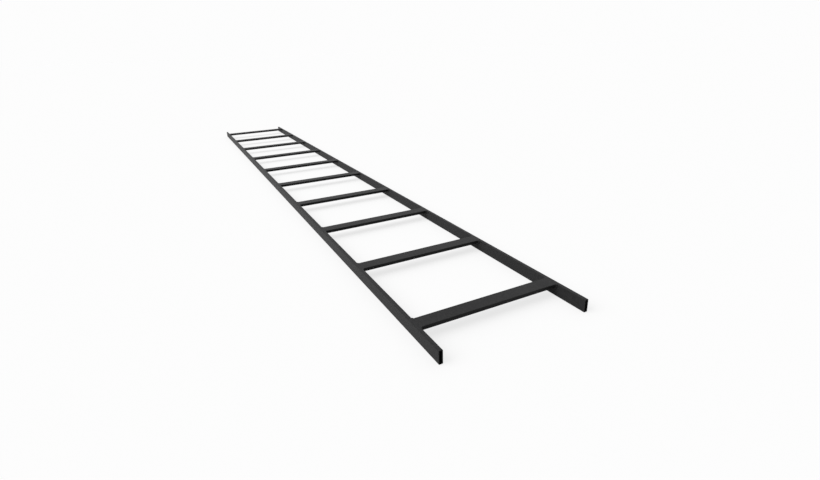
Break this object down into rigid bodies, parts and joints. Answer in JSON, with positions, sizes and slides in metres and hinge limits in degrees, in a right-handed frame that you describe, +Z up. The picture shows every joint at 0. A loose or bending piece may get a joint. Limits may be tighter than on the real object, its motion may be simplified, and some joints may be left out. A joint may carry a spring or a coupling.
{
  "type": "cable ladder section",
  "caption": "Straight cable ladder section: tubular stringers on edge, flat tubular rungs welded between them with flush tops, black powder coat.",
  "frame": {"origin": "centre of the section's footprint, at the level of the stringers' lower edges", "axes": "+Z up out of the flush top, +Y along the stringers, +X across to the right stringer"},
  "size_m": [0.381, 3.048, 0.0318],
  "materials": {
    "coat": "black satin powder coat with a fine texture"
  },
  "bodies": {
    "root": {"stringer_left": "coat", "stringer_right": "coat", "rung_01": "coat", "rung_02": "coat", "rung_03": "coat", "rung_04": "coat", "rung_05": "coat", "rung_06": "coat", "rung_07": "coat", "rung_08": "coat", "rung_09": "coat", "rung_10": "coat"}
  },
  "joints": []
}
